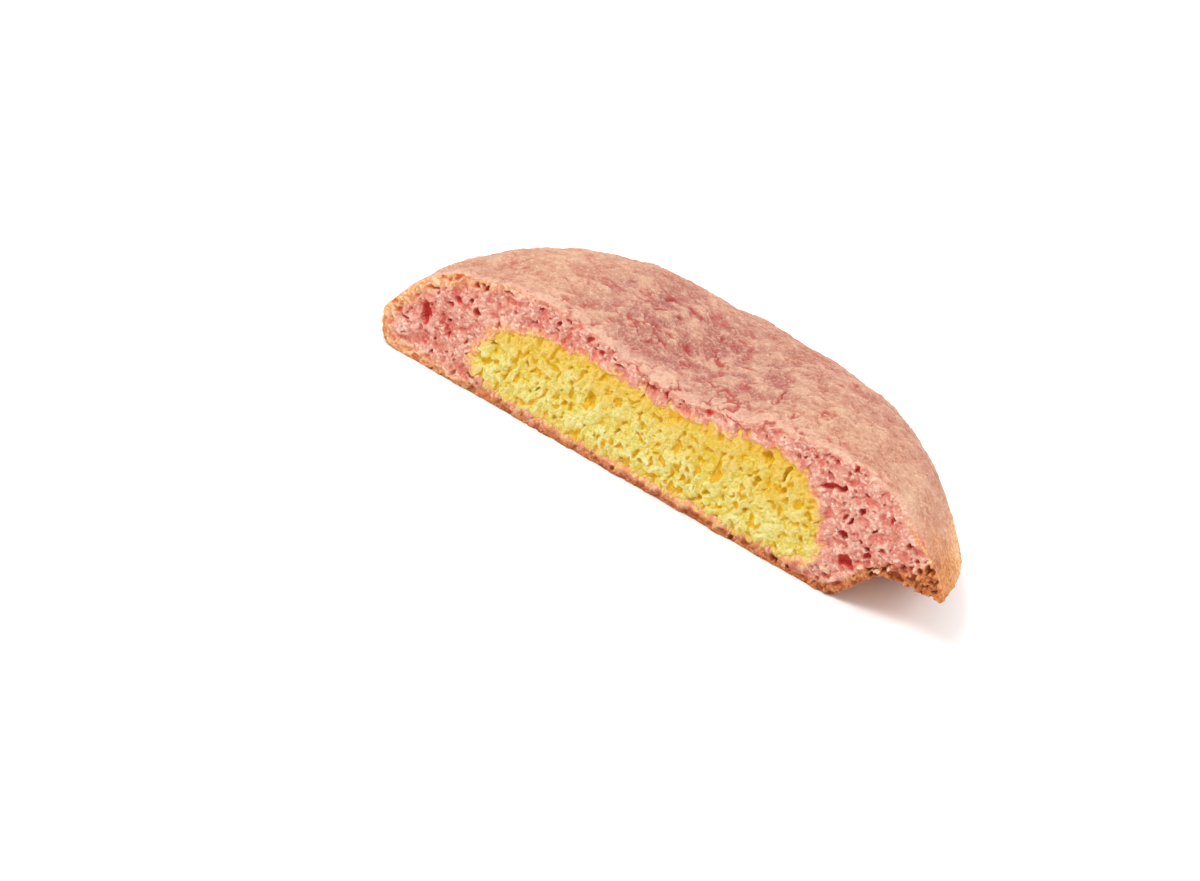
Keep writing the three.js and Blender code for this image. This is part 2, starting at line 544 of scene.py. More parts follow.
print_range("yellow crumb", [yellow_crumb(at).height for at in along_cut])

# %% [markdown]
# ## Baked skin
# The skin is another thing. In the oven it dries first: it puffs up in soft lumps,
# shrinks into short creases, and is pitted where bubbles broke. All this is strongest in
# the sunken middle and calmer towards the rim. The clearest creases and pits are again
# listed, each as a line from one place to another.

# %% Creases


@dataclass
class Crease:
    """A line on the top, from one place to another, in mm; y is behind the cut."""

    start: Vector
    end: Vector
    width: float
    depth: float


SKIN_CREASES = [Crease(Vector((x, y, 0)), Vector((u, v, 0)), *size) for x, y, u, v, *size in (
    (9.4, 4.7, 9.0, 9.7, 0.5, 0.35),
    (-9.9, 12.8, -9.4, 13.6, 0.9, 0.45),
    (-10.1, 17.9, -10.4, 16.0, 0.9, 0.45),
    (-7.6, 14.1, -7.5, 14.4, 0.8, 0.35),
    (-4.3, 11.1, -4.2, 10.7, 1.0, 0.6),
    (-4.2, 10.7, -3.4, 9.2, 0.5, 0.4),
    (-8.3, 18.2, -5.7, 17.9, 0.5, 0.35),
    (8.8, 19.8, 9.6, 19.6, 0.6, 0.3),
    (9.3, 16.1, 9.3, 16.2, 0.4, 0.35),
    (12.9, 16.3, 13.3, 16.0, 0.7, 0.35),
    (15.5, 13.8, 16.4, 13.2, 0.5, 0.3),
    (13.9, 19.9, 14.2, 19.2, 0.6, 0.3),
)]
CREASE_EDGE = (1.2, 0.2)  # a crease begins at the first share of its half width


def seen_from_above(at, behind):
    """The place in plan, with y as the distance behind the cut."""
    return Vector((at.x, behind, 0))


def listed_crease(at, behind):
    """How deep the deepest of the listed creases is here."""
    flat = ragged(seen_from_above(at, behind), size=0.8, by=0.35)
    deepest = 0
    for crease in SKIN_CREASES:
        line = crease.end - crease.start
        share = min(max((flat - crease.start).dot(line) / line.length_squared, 0), 1)
        out = 2 * (flat - crease.start - line * share).length / crease.width
        deepest = max(deepest, crease.depth * step(*CREASE_EDGE, out))
    return deepest


print("creases:", len(SKIN_CREASES))

# %% Skin relief
SEAM_DEPTH = 0.28  # mm: creases where soft lumps meet
PIT_DEPTH = 0.22  # mm
LISTED_DEEPER = 1.2  # listed creases are cut this much deeper than the list says


def baked_skin(at, behind):
    """The crinkled skin: soft lumps, short creases and pits."""
    shifted = ragged(at, size=1.3, by=0.8)
    twice = ragged(shifted, size=0.5, by=0.22)
    from_middle = math.hypot(at.x, behind)
    distances = noise.voronoi(shifted / 1.7)[0]
    seam = step(0.17, 0, distances[1] - distances[0])
    seam *= step(-0.1, 0.35, swell(at, size=2.2))
    seam *= 0.35 + 0.65 * step(32, 12, from_middle)
    pit = pores(twice, spacing=2.6, share=0.45, smallest=0.15, largest=0.4)
    hollow = max(
        SEAM_DEPTH * seam,
        PIT_DEPTH * step(0, 0.35, pit),
        LISTED_DEEPER * listed_crease(at, behind),
    )
    body = swell(at, size=3.0, height=0.34) + swell(shifted, size=1.3, height=0.3)
    body += swell(twice, size=0.6, height=0.16)
    body *= 0.55 + 0.45 * step(32, 16, from_middle)
    grain = grains(twice, size=0.8, height=0.1) + grains(twice, size=0.42, height=0.05)
    return Relief(body + grain - 0.06 - hollow, hollow, body + grain)


print_range("skin", [baked_skin(at, behind=10).height for at in along_cut])

# %% [markdown]
# ## Where the dough meets the filling
# Between the solids is a gap of 0.3 mm, but baked dough and filling stick together. Just
# behind the cut both pieces lean over the gap and run into each other, like the scarf of
# a joint. Near the border they share one relief and one sideways shift, so that neither
# stands out, and a little noise lets now one and now the other come out on top. Two
# separate meshes keep the pieces separate, which one joined mesh wouldn't.

# %% Border
LEAN_OVER = 0.3  # mm that each piece leans over the gap on the cut itself
OVERLAP = 0.8  # mm more that it leans over behind the cut, growing as fast as the depth
SHARED_WITHIN = (0.9, 0.3)  # mm to the other piece: nothing is shared, and the most is
MOST_SHARED = 0.8


def lean(behind):
    """How far a piece leans over the gap at a distance behind the cut."""
    return (LEAN_OVER + min(behind, OVERLAP)) * step(5.0, 2.0, behind)


def border_shift(at, behind):
    """Sideways shift of the border, the same for both pieces and calm at the base."""
    shift = noise.noise_vector(at / 1.8) * 0.75 + noise.noise_vector(at / 0.7) * 0.35
    shift *= 0.4 + 0.6 * step(2.0, 4.5, at.z)
    return Vector((shift.x, 0, shift.z)) * step(3.0, 0.3, behind)


def border_height(at):
    """Relief that both pieces share along their border."""
    grain = grains(ragged(at, size=0.4, by=0.15), size=0.45, height=0.1)
    return swell(at, size=2.8, height=0.3) + grain


def take_turns(at):
    """How far the dough stands over the filling along the border."""
    return 0.12 + swell(at, size=0.9, height=0.25, layer=1) + swell(at, size=0.45, height=0.2)


turns = [take_turns(at) for at in along_cut]
print("the dough lies on top along", sum(turn > 0 for turn in turns), "of 61 mm")

# %% [markdown]
# ## The dough
# It is one closed piece: torn crumb on the cut, skin outside, and a plain cavity behind.
# What shows is divided once, and a thin slice at the cut once more, because torn crumb
# has the smallest shapes.

# %% Dough mesh
DOUGH_VOXEL = 0.46  # mm
BASE_HIDDEN = 0.3  # mm: skin below this height faces the table
CRUMB_SLICE = 1.2  # mm behind the cut that follow its relief
FINEST_SLICE = 0.35  # mm


def shows(face):
    """True for faces of the dough that need fine relief."""
    middle = face.calc_center_median()
    kind = kinds[dough_surface.find_nearest(middle)[2]]
    return near_cut(CRUMB_SLICE)(face) or (kind == SKIN and middle.z > BASE_HIDDEN * MM)


dough = even_piece("pink_dough", "dough", DOUGH_VOXEL)
refine(dough, dough_surface, [shows, near_cut(FINEST_SLICE)])

# %% [markdown]
# For every corner, a record holds where it is and what is near: the skin, the other
# piece, and the place half way to that piece. Both pieces read the border's noise at
# that place, so they move together.

# %% Reading a corner
FAR = 9.0  # mm: stands for the distance to a skin that isn't looked for
SKIN_SEARCH = 2.0  # mm behind the cut


@dataclass
class Spot:
    """A corner of a piece, with lengths in mm."""

    at: Vector
    behind: float  # distance behind the cut
    on_cut: Vector  # the same place, brought forward to the cut
    outwards: Vector
    to_skin: float
    skin_outwards: Vector
    to_other: float  # distance to the other piece's solid
    other_way: Vector  # direction to it
    between: Vector  # a place half way to it, on the cut


def read_spot(vertex, other_surface, skin_is_near):
    """Looks up what is near a corner; only near the cut is the skin looked for."""
    place = vertex.co.copy()
    behind = (place.y - cut_y) / MM
    nearest, _, _, away = other_surface.find_nearest(place)
    to_skin, skin_outwards = FAR, vertex.normal.copy()
    if skin_is_near and behind < SKIN_SEARCH:
        _, skin_outwards, _, distance = skin_surface.find_nearest(place)
        to_skin = distance / MM
    between = (place + nearest) / (2 * MM)
    between.y = cut_y / MM
    return Spot(
        at=place / MM,
        behind=behind,
        on_cut=Vector((place.x, cut_y, place.z)) / MM,
        outwards=vertex.normal.copy(),
        to_skin=to_skin,
        skin_outwards=skin_outwards,
        to_other=away / MM,
        other_way=(nearest - place).normalized(),
        between=between,
    )


sample = read_spot(dough.data.vertices[0], filling_surface, skin_is_near=True)
print("first corner:", round(sample.to_other, 1), "mm from the filling")

# %% [markdown]
# ## Browned places
# Where dough touches the hot tray it browns about 1 mm deep, and a thin lip that sticks
# out dries and browns all through and cracks into lumps. So how brown a place is decides
# its relief as well as its colour, and one function serves both.

# %% Browned places on the cut
LIP_TIP = Vector((37.5, cut_y / MM, 7.0))  # the rim's tip at the right end, in mm
LIP_REACH = (5.2, 3.0)  # mm from the tip: not dried out, and dried all through
CREVICE_DEPTH = 0.45  # mm


def ends(at):
    """How near the place is to the left and to the right end of the cut."""
    return step(-14, -33, at.x), step(24, 36, at.x)


def unsteady(at):
    """A shift that makes a browned edge run in and out."""
    return swell(at, size=0.8, height=0.5) + swell(at, size=3, height=0.4)


def near_lip(spot):
    """How near the place is to the tip of the dried lip."""
    return step(*LIP_REACH, (spot.on_cut - LIP_TIP).length + unsteady(spot.at))


def browning(spot):
    """How brown the torn face is: in a band along the base, and all through the lip."""
    left_end, _ = ends(spot.at)
    below = step(0.1, -0.5, spot.skin_outwards.z) * (1 - 0.3 * left_end)
    thick = 1.2 + 0.7 * step(18, 26, spot.at.x) + 0.7 * step(29, 33, spot.at.x)
    thick -= 0.6 * left_end
    band = step(thick, 0.4 * thick, spot.to_skin + unsteady(spot.at))
    return max(band * below, step(0.2, 0.7, near_lip(spot)))


def crevices(spot):
    """Dark gaps between the lumps of the browned lip."""
    place = ragged(spot.on_cut, size=0.6, by=0.35)
    gaps = step(0.0, 0.35, swell(place, size=0.9) + swell(place, size=0.4, height=0.4))
    return CREVICE_DEPTH * gaps * browning(spot) * step(18, 28, spot.at.x)


# %% [markdown]
# ## Moving the corners
# A corner on the cut moves forwards or back by the crumb's height. One on the skin moves
# along its normal. At the edge between them each follows the other as well, so that
# the edge tears with the crumb and no gap opens. The wall of the cavity stays plain and
# only leans over the filling near the cut.

# %% Dough relief
ON_THE_CUT = 0.06  # mm behind the plane that still counts as the cut
REACH = 1.4  # mm behind the cut over which its relief dies out
SKIN_EDGE = 0.3  # mm from the skin within which the cut follows it
FRONT = Vector((0, -1, 0))


def shared_relief(own, spot):
    """A crumb's own height away from the border, and the shared one along it."""
    shared = MOST_SHARED * step(*SHARED_WITHIN, spot.to_other)
    return own * (1 - shared) + border_height(spot.between) * shared


def on_top(spot):
    """How far the dough stands over the filling here, and the filling under it."""
    return take_turns(spot.between) * step(1.2, 0.3, spot.to_other)


def dough_crumb(spot):
    """Relief of the dough's cut, calmer at the skin and shared at the border."""
    crumb = pink_crumb(spot.on_cut)
    calm = 1 - 0.35 * step(0.6, 0.1, spot.to_skin)
    gap = crevices(spot)
    height = shared_relief(crumb.height * calm - gap, spot) + on_top(spot)
    return Relief(height, max(crumb.hollow, gap), crumb.grain)


# %% Shifts of the dough


def shift_wall(spot):
    """The cavity's wall leans over the filling near the cut."""
    shift = spot.other_way * lean(spot.behind)
    if spot.behind < REACH:
        shift += FRONT * dough_crumb(spot).height * step(REACH, 0, spot.behind)
    return shift + border_shift(spot.between, spot.behind)


def shift_cut(spot, crumb, crust):
    """The torn face goes in and out, and its edge follows the skin as well."""
    near_border = step(1.3, 0.3, spot.to_other)
    shift = FRONT * crumb.height + spot.other_way * LEAN_OVER * near_border
    shift += border_shift(spot.between, 0) * near_border * step(0.2, 1.0, spot.to_skin)
    return shift + spot.skin_outwards * crust.height * step(SKIN_EDGE, 0, spot.to_skin)


def shift_skin(spot, crumb, crust):
    """The skin has its own relief and follows the torn face at its edge."""
    if spot.at.z < BASE_HIDDEN and spot.outwards.z < -0.5:
        return spot.outwards * -abs(crust.height) * 0.3
    calm = 0.55 + 0.45 * step(0.3, 0.8, spot.outwards.z)
    follow = FRONT * crumb.height * step(REACH, 0, spot.behind)
    return spot.outwards * crust.height * calm + follow


# %% [markdown]
# ## Marks for the colours
# A material can't know what a corner lies on, so each corner carries marks from 0 to 1:
# skin or crumb, how deep in a hollow, how high on a grain, how much the oven or the
# filling has changed the colour, and how much painted shade the sunken middle gets. They
# are stored as attributes of the mesh. A texture could hold the same, but would need an
# unwrapped mesh and a size in pixels, and attributes are as fine as the relief itself.

# %% Marks on the cut
DOUGH_MARKS = (
    "skin", "hollow", "grain", "toast", "brown", "stain", "top_shade", "pale", "flake",
)
# The full colour in pores is painted shade, and on grains painted highlight.
DEEP_PORE = 0.6  # mm: pores this deep have their full colour
HIGH_GRAIN = 0.2  # mm: grains this high have theirs
FLAKE_HEIGHT = 0.2  # mm


def mark_cut(spot, crumb):
    """Marks on the torn face: a toasted line along the skin and a brown one below."""
    left_end, right_end = ends(spot.at)
    width = 0.4 + 2.1 * left_end + 0.7 * right_end
    toast = step(width, 0.1 * width, spot.to_skin + unsteady(spot.at))
    return {
        "skin": 0.6 * step(0.5, 0, spot.to_skin + swell(spot.at, size=0.5, height=0.4)),
        "hollow": min(crumb.hollow / DEEP_PORE, 1),
        "grain": crumb.grain / HIGH_GRAIN,
        "toast": max(toast * (0.12 + 0.88 * max(left_end, right_end)), near_lip(spot)),
        "brown": browning(spot),
        "stain": step(1.1, 0.1, spot.to_other + swell(spot.at, size=1.1, height=0.7)),
        "flake": min(listed_hollow(spot.on_cut, PALE_FLAKES) / FLAKE_HEIGHT, 1),
    }


# %% [markdown]
# On the skin, the low rim is toasted and its foot is brown. The sunken middle gets painted
# shade, a darker rose in patches, and a strip along the cut is pale. Each of these is a
# distance from something, such as the table or the cut, and noise makes its edge unsteady.

# %% Marks on the skin
DEEP_CREASE = 0.25  # mm
# Patches of painted shade on the top, where it dips in dents.
TOP_SHADE_PATCHES = (  # x, distance behind the cut and radius of the darker pink patches
    (-9.0, 9.5, 3.6), (-5.8, 7.4, 2.8), (-10.2, 15.5, 3.0), (-2.0, 16.5, 3.6),
    (1.2, 8.4, 3.0), (3.8, 5.6, 2.2), (0.5, 12.5, 2.6), (-14.5, 14.0, 4.5),
)
SUNKEN_MIDDLE = Vector((-3, 13, 0))


def top_shade(spot):
    """How much painted shade darkens the top: most in the patches and in the sunken middle."""
    flat = ragged(seen_from_above(spot.at, spot.behind), size=2.0, by=1.1)
    patches = max(
        step(radius, 0.2 * radius, math.hypot(flat.x - x, flat.y - y))
        for x, y, radius in TOP_SHADE_PATCHES
    )
    sunken = 0.9 * step(21, 8, (flat - SUNKEN_MIDDLE).length)
    far_back = 0.65 * step(6, 20, flat.y) * step(-24, -12, flat.x)
    return max(patches, sunken, far_back) * step(0.3, 0.8, spot.outwards.z)


def pale(spot, wobble):
    """A pale strip along the cut, wider over the filling."""
    over_filling = step(-26, -16, spot.at.x) * step(24, 12, spot.at.x)
    over_filling *= step(0.3, 0.8, spot.outwards.z)
    wide = step(5.0, 0.5, spot.behind + wobble) * over_filling
    return max(wide, step(2.4, 0.4, spot.behind + 0.4 * wobble))


def mark_skin(spot, crust):
    """Marks on the skin: toasted towards the table, painted shade where the top has sunk."""
    left_end, right_end = ends(spot.at)
    wobble = swell(spot.at, size=2.5, height=1.2) + swell(spot.at, size=0.9, height=0.5)
    toast_to = 7 + 5 * step(18, 33, spot.at.x)
    toast = step(toast_to, toast_to - 5, spot.at.z + wobble)
    foot = step(toast_to - 5.3, toast_to - 6.5, spot.at.z + 0.4 * wobble)
    lip = 0.8 * step(11.0, 3.0, (spot.at - LIP_TIP).length + wobble)
    return {
        "skin": step(-0.2, 0.6, spot.behind + swell(spot.at, size=0.6, height=0.5)),
        "hollow": min(crust.hollow / DEEP_CREASE, 1),
        "grain": (crust.grain + 0.25) / 0.6,
        "toast": toast * (0.75 + 0.25 * max(left_end, right_end)),
        "brown": max(foot, lip, step(-0.1, -0.6, spot.outwards.z)),
        "top_shade": top_shade(spot),
        "pale": pale(spot, wobble),
    }


# %% [markdown]
# Both pieces are shaped in the same way: a function gives every corner its shift and its
# marks, and one loop moves the corners and stores the marks. All corners are written at
# once, so that no corner is measured from a neighbour that has already moved.

# %% Shape and mark a piece


def shape_piece(piece, names, shape_corner, lowest):
    """Moves and marks every corner as shape_corner says, but not below lowest mm."""
    vertices = piece.data.vertices
    columns = {name: [0.0] * len(vertices) for name in names}
    corners = []
    for i, vertex in enumerate(vertices):
        shift, marks = shape_corner(vertex)
        corner = vertex.co + shift * MM
        corners.extend((corner.x, corner.y, max(corner.z, lowest * MM)))
        for name, value in marks.items():
            columns[name][i] = value
    vertices.foreach_set("co", corners)
    for name, values in columns.items():
        layer = piece.data.attributes.new(name, "FLOAT", "POINT")
        layer.data.foreach_set("value", values)
    piece.data.update()
    means = {name: round(sum(values) / len(values), 2) for name, values in columns.items()}
    print(piece.name, "marks on average:", means)


# %% Shape and mark the dough


def dough_corner(vertex):
    """The shift and the marks of a corner of the dough."""
    kind = kinds[dough_surface.find_nearest(vertex.co)[2]]
    if vertex.co.y < cut_y + ON_THE_CUT * MM:
        kind = CUT
    spot = read_spot(vertex, filling_surface, skin_is_near=kind != WALL)
    crumb = dough_crumb(spot) if spot.behind < REACH else Relief()
    if kind == WALL:
        return shift_wall(spot), mark_cut(spot, crumb)
    near_skin = kind == SKIN or spot.to_skin < SKIN_EDGE
    crust = baked_skin(spot.at, spot.behind) if near_skin else Relief()
    if kind == CUT:
        return shift_cut(spot, crumb, crust), mark_cut(spot, crumb)
    return shift_skin(spot, crumb, crust), mark_skin(spot, crust)


shape_piece(dough, DOUGH_MARKS, dough_corner, lowest=0)

# %% [markdown]
# With the relief in place, the dough has more triangles than it needs, because much of
# it is flat again. Decimate merges triangles where the surface is flattest and keeps
# the marks. It can pull a corner a little under the table, so the base is made flat
# again afterwards. Then the piece is attached to the body it rides on, and the solid it
# stands in for is hidden.

# %% Finish the dough
TRIANGLE_LIMIT = 196000


def triangles(piece):
    """How many triangles the piece's faces make."""
    return sum(len(face.vertices) - 2 for face in piece.data.polygons)


before = triangles(dough)
decimate = dough.modifiers.new("thin", "DECIMATE")
decimate.ratio = min(TRIANGLE_LIMIT / before, 1)
apply_modifiers(dough)
for vertex in dough.data.vertices:
    vertex.co.z = max(vertex.co.z, 0)
dough.data.shade_smooth()
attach(dough, "root")
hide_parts("pink_dough")
print("dough triangles:", before, "before and", triangles(dough), "after")

# %% [markdown]
# ## The filling
# It runs through the half behind the cut, but only its cut shows, so only that is fine.
# Its upper part took up more moisture from the dough, in streaks, and near the dough it
# is stained.

# %% Filling mesh and relief
FILLING_VOXEL = 0.42  # mm
FILLING_MARKS = ("hollow", "grain", "moist", "stain")
DEEP_GAP = 0.22  # mm
LOWEST_FILLING = 0.5  # mm: it stays above the browned base
FINE_SLICES = (1.5, 0.4)  # mm behind the cut: each is divided once more

filling = even_piece("sweet_potato_filling", "filling", FILLING_VOXEL)
refine(filling, filling_surface, [near_cut(depth) for depth in FINE_SLICES])


def filling_shift(spot, crumb):
    """The cut goes in and out, and the side leans over the gap to the dough."""
    near_border = step(1.3, 0.3, spot.to_other)
    shift = border_shift(spot.between, spot.behind) * near_border
    shift += FRONT * crumb.height * step(REACH, 0, spot.behind)
    if spot.behind < ON_THE_CUT:
        return shift + spot.other_way * LEAN_OVER * near_border
    return shift + spot.other_way * lean(spot.behind)


# %% Shape and mark the filling


def filling_corner(vertex):
    """The shift and the marks of a corner of the filling."""
    spot = read_spot(vertex, wall_surface, skin_is_near=False)
    crumb = Relief()
    if spot.behind < REACH:
        crumb = yellow_crumb(spot.on_cut)
        crumb.height = shared_relief(crumb.height, spot) - on_top(spot)
    streak = swell(Vector((spot.at.x / 0.8, 0, spot.at.z / 3)), size=1, height=1.5)
    level = spot.at.z + swell(spot.at, size=3, height=3.0) + streak
    return filling_shift(spot, crumb), {
        "hollow": min(crumb.hollow / DEEP_GAP, 1),
        "grain": crumb.grain / HIGH_GRAIN,
        "moist": step(4.0, 11.5, level),
        "stain": step(1.6, 0.2, spot.to_other + swell(spot.at, size=1.1, height=0.8)),
    }


shape_piece(filling, FILLING_MARKS, filling_corner, lowest=LOWEST_FILLING)
filling.data.shade_smooth()
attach(filling, "root")
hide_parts("sweet_potato_filling")
print("filling triangles:", triangles(filling))

# %% [markdown]
# ## Material tools
# Both materials are coats of colour laid over each other, each through a mask, much as a
# cook would describe the food: pink, paler on the lumps as painted highlight, crimson in
# the pores as painted shade, toasted along the edge. A mask is a mark from the mesh or a
# noise, cut to a window of its values.

# %% Node helpers


def new_material(name):
    """A material with its node tree and its shader."""
    material = bpy.data.materials.new(name)
    material.use_nodes = True
    return material, material.node_tree, material.node_tree.nodes["Principled BSDF"]


def put(tree, socket, value):
    """Links a socket to another, or gives it a number or a colour."""
    if isinstance(value, bpy.types.NodeSocket):
        tree.links.new(value, socket)
    elif isinstance(value, tuple):
        socket.default_value = (*value, 1)
    else:
        socket.default_value = value


def read_mark(tree, name):
    """The mark of that name, as the mesh carries it."""
    node = tree.nodes.new("ShaderNodeAttribute")
    node.attribute_name = name
    return node.outputs["Fac"]


def calculate(tree, operation, first, second):
    """A Math node on two sockets or numbers."""
    node = tree.nodes.new("ShaderNodeMath")
    node.operation = operation
    put(tree, node.inputs[0], first)
    put(tree, node.inputs[1], second)
    return node.outputs[0]


# %% Masks and coats


def window(tree, value, low, high, most=1.0):
    """0 where the value is low, rising to most where it is high."""
    node = tree.nodes.new("ShaderNodeMapRange")
    for name, number in (("From Min", low), ("From Max", high), ("To Min", 0), ("To Max", most)):
        node.inputs[name].default_value = number
    put(tree, node.inputs["Value"], value)
    return node.outputs["Result"]


def coats(tree, colour, *layers):
    """Lays coats over a colour. Each coat is a mask and a colour of its own."""
    for mask, coat in layers:
        node = tree.nodes.new("ShaderNodeMix")
        node.data_type = "RGBA"
        put(tree, node.inputs["Factor"], mask)
        put(tree, node.inputs[6], colour)
        put(tree, node.inputs[7], coat)
        colour = node.outputs[2]
    return colour


# %% [markdown]
# Both materials need the same three effects, so each is a node group, built once. Grains
# puts out a random number for each grain and a height for the Bump node, and blotches
# puts out a noise. Both read Object coordinates, which stay on the piece wherever it
# goes. Strays picks out whole grains that belong to the other side of the border.

# %% Shared groups
STRAYS_FROM = (1.42, 1.62)  # closeness plus a grain's number: none and all of it stray
MOST_STRAY = 0.8


def new_group(name, inputs, outputs):
    """An empty node group with number sockets: the group, its inputs and its outputs."""
    group = bpy.data.node_groups.new(name, "ShaderNodeTree")
    for socket in inputs:
        group.interface.new_socket(socket, in_out="INPUT", socket_type="NodeSocketFloat")
    for socket in outputs:
        group.interface.new_socket(socket, in_out="OUTPUT", socket_type="NodeSocketFloat")
    given = group.nodes.new("NodeGroupInput")
    made = group.nodes.new("NodeGroupOutput")
    return group, given.outputs, made.inputs


def sized_texture(group, kind, size):
    """A texture in the group that reads Object coordinates and has features of a size."""
    where = group.nodes.new("ShaderNodeTexCoord").outputs["Object"]
    texture = group.nodes.new(kind)
    put(group, texture.inputs["Vector"], where)
    put(group, texture.inputs["Scale"], calculate(group, "DIVIDE", 1.0, size))
    return texture


def make_grain_group():
    """Voronoi cells of a size: each is a grain with a random number."""
    group, given, made = new_group("grains", ["Size"], ["Number", "Height"])
    cells = sized_texture(group, "ShaderNodeTexVoronoi", given["Size"])
    split = group.nodes.new("ShaderNodeSeparateColor")
    put(group, split.inputs["Color"], cells.outputs["Color"])
    put(group, made["Number"], split.outputs["Red"])
    put(group, made["Height"], calculate(group, "SUBTRACT", 1.0, cells.outputs["Distance"]))
    return group


def make_blotch_group():
    """Noise with features of a size."""
    group, given, made = new_group("blotches", ["Size"], ["Value"])
    cloud = sized_texture(group, "ShaderNodeTexNoise", given["Size"])
    cloud.inputs["Detail"].default_value = 3.5
    put(group, made["Value"], cloud.outputs["Fac"])
    return group


def make_stray_group():
    """Grains that belong to the other side, more of them towards the border."""
    group, given, made = new_group("strays", ["Closeness", "Number"], ["Mask"])
    together = calculate(group, "ADD", given["Closeness"], given["Number"])
    put(group, made["Mask"], window(group, together, *STRAYS_FROM, most=MOST_STRAY))
    return group


GRAIN_GROUP = make_grain_group()
BLOTCH_GROUP = make_blotch_group()
STRAY_GROUP = make_stray_group()
print("groups:", [group.name for group in bpy.data.node_groups])

# %% [markdown]
# A Bump node only bends the light, so it is kept for grain finer than the mesh, and
# every shape that shows at an edge was made as relief. Subsurface scattering lets light
# into the crumb, as into any moist food, and softens its shadows.

# %% Using the groups


def use_group(tree, group, **given):
    """Places the group in a material, with a socket or a number for each input."""
    node = tree.nodes.new("ShaderNodeGroup")
    node.node_tree = group
    for name, value in given.items():
        put(tree, node.inputs[name], value)
    return node.outputs


def roughen(tree, shader, heights, distance):
    """Adds heights up, each with its own share, and bends the normal by them."""
    total = 0.0
    for height, share in heights:
        total = calculate(tree, "ADD", total, calculate(tree, "MULTIPLY", height, share))
    node = tree.nodes.new("ShaderNodeBump")
    node.inputs["Distance"].default_value = distance * MM
    put(tree, node.inputs["Height"], total)
    put(tree, shader.inputs["Normal"], node.outputs["Normal"])


def let_light_in(shader, weight, reach, tint):
    """Subsurface scattering: light goes in and comes out tinted nearby."""
    shader.inputs["Subsurface Weight"].default_value = weight
    shader.inputs["Subsurface Scale"].default_value = reach * MM
    shader.inputs["Subsurface Radius"].default_value = tint


# %% [markdown]
# ## Dough material
# The dough is one piece, so it has one material, and the marks choose between its
# looks. Toasted and browned dough come first: sugar has turned orange and then brown,
# pale on the grains, with painted shade dark in the gaps.

# %% Toasted and browned dough
dough_material, tree, shader = new_material("baked_dough")
marks = {name: read_mark(tree, name) for name in DOUGH_MARKS}
grain = use_group(tree, GRAIN_GROUP, Size=0.32 * MM)
fine_grain = use_group(tree, GRAIN_GROUP, Size=0.18 * MM)

TOASTED = (0.70, 0.29, 0.10)
TOASTED_GRAIN = (0.86, 0.57, 0.30)
# painted shade in the toasted gaps and pores
TOASTED_GAP_SHADE = (0.62, 0.13, 0.055)
BROWNED = (0.40, 0.105, 0.03)
BROWNED_GRAIN = (0.61, 0.24, 0.08)
# painted shade in the browned gaps and crevices
BROWNED_GAP_SHADE = (0.25, 0.045, 0.012)

toasted = coats(
    tree, TOASTED,
    (window(tree, grain["Number"], 0.2, 0.9), TOASTED_GRAIN),
    (window(tree, marks["hollow"], 0.1, 0.9, most=0.8), TOASTED_GAP_SHADE),
)
browned = coats(
    tree, BROWNED,
    (window(tree, grain["Number"], 0.1, 1.0), BROWNED_GRAIN),
    (window(tree, marks["hollow"], 0.0, 0.8, most=0.9), BROWNED_GAP_SHADE),
)
print("nodes so far:", len(tree.nodes))

# %% [markdown]
# Pink crumb is pale on some grains, its lumps get a painted highlight, and its pores get
# painted shade in crimson, the red of light that has gone through more crumb. Next to the
# filling it is stained, and a few yellow grains have strayed into it.

# %% Pink crumb colours
patchy = use_group(tree, BLOTCH_GROUP, Size=1.2 * MM)["Value"]
strays = use_group(tree, STRAY_GROUP, Closeness=marks["stain"], Number=grain["Number"])

CRUMB_PINK = (0.585, 0.205, 0.15)
PALE_PINK = (0.665, 0.33, 0.25)
# painted highlight on the high lumps of the crumb
LUMP_HIGHLIGHT_PINK = (0.775, 0.49, 0.38)
GRAIN_PINK = (0.86, 0.66, 0.53)
DEEP_PINK = (0.54, 0.125, 0.09)
# painted shade in the pores and tears, crimson
PORE_SHADE_CRIMSON = (0.60, 0.06, 0.05)
STAINED_PINK = (0.78, 0.39, 0.13)
STRAY_YELLOW = (0.80, 0.56, 0.20)

crumb = coats(
    tree, CRUMB_PINK,
    (window(tree, patchy, 0.38, 0.66), PALE_PINK),
    (window(tree, marks["grain"], 0.3, 1.2, most=0.6), LUMP_HIGHLIGHT_PINK),
    (window(tree, grain["Number"], 0.65, 1.0, most=0.65), GRAIN_PINK),
    (window(tree, grain["Number"], 0.4, 0.0, most=0.5), DEEP_PINK),
    (window(tree, marks["hollow"], 0.0, 0.85, most=0.95), PORE_SHADE_CRIMSON),
    (window(tree, marks["stain"], 0, 1, most=0.6), STAINED_PINK),
    (strays["Mask"], STRAY_YELLOW),
    (window(tree, marks["toast"], 0, 1, most=0.85), toasted),
)
print("nodes so far:", len(tree.nodes))

# %% [markdown]
# The skin is duller than the crumb. Wide blotches of beige and rose lie on it, its lumps
# get a painted highlight, its creases and pits get painted shade in rose, and grains of
# three sizes keep it from looking smooth.

# %% Skin colours
wide = use_group(tree, BLOTCH_GROUP, Size=5 * MM)["Value"]
skin_grain = use_group(tree, GRAIN_GROUP, Size=0.5 * MM)

SKIN_PINK = (0.455, 0.205, 0.132)
SKIN_BEIGE = (0.53, 0.30, 0.195)
SKIN_ROSE = (0.43, 0.165, 0.115)
# painted shade of the sunken top and its dents
TOP_SHADE_ROSE = (0.32, 0.10, 0.095)
PALE_STRIP = (0.71, 0.45, 0.335)
